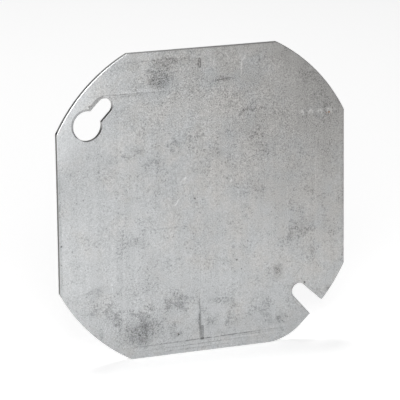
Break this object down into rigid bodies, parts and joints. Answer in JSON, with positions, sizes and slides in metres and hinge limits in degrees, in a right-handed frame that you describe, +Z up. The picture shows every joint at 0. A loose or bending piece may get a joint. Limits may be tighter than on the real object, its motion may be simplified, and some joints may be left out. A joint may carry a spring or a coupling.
{
  "type": "octagon box cover plate",
  "caption": "Flat blank sheet steel cover for an octagon electrical box, with a keyhole slot and an open notch for its two screws.",
  "frame": {"origin": "middle of the plate's back face, halfway between the two screw seats, which is the point over the middle of the box that the plate closes", "axes": "+Z up along the plate's height, +X across it to the right as seen from the front, +Y out of the back face into the box; the front face looks along -Y"},
  "size_m": [0.0932, 0.0016, 0.0932],
  "materials": {
    "galvanised_steel": "matte galvanised, minimised spangle"
  },
  "bodies": {
    "root": {"cover_plate": "galvanised_steel"}
  },
  "joints": []
}
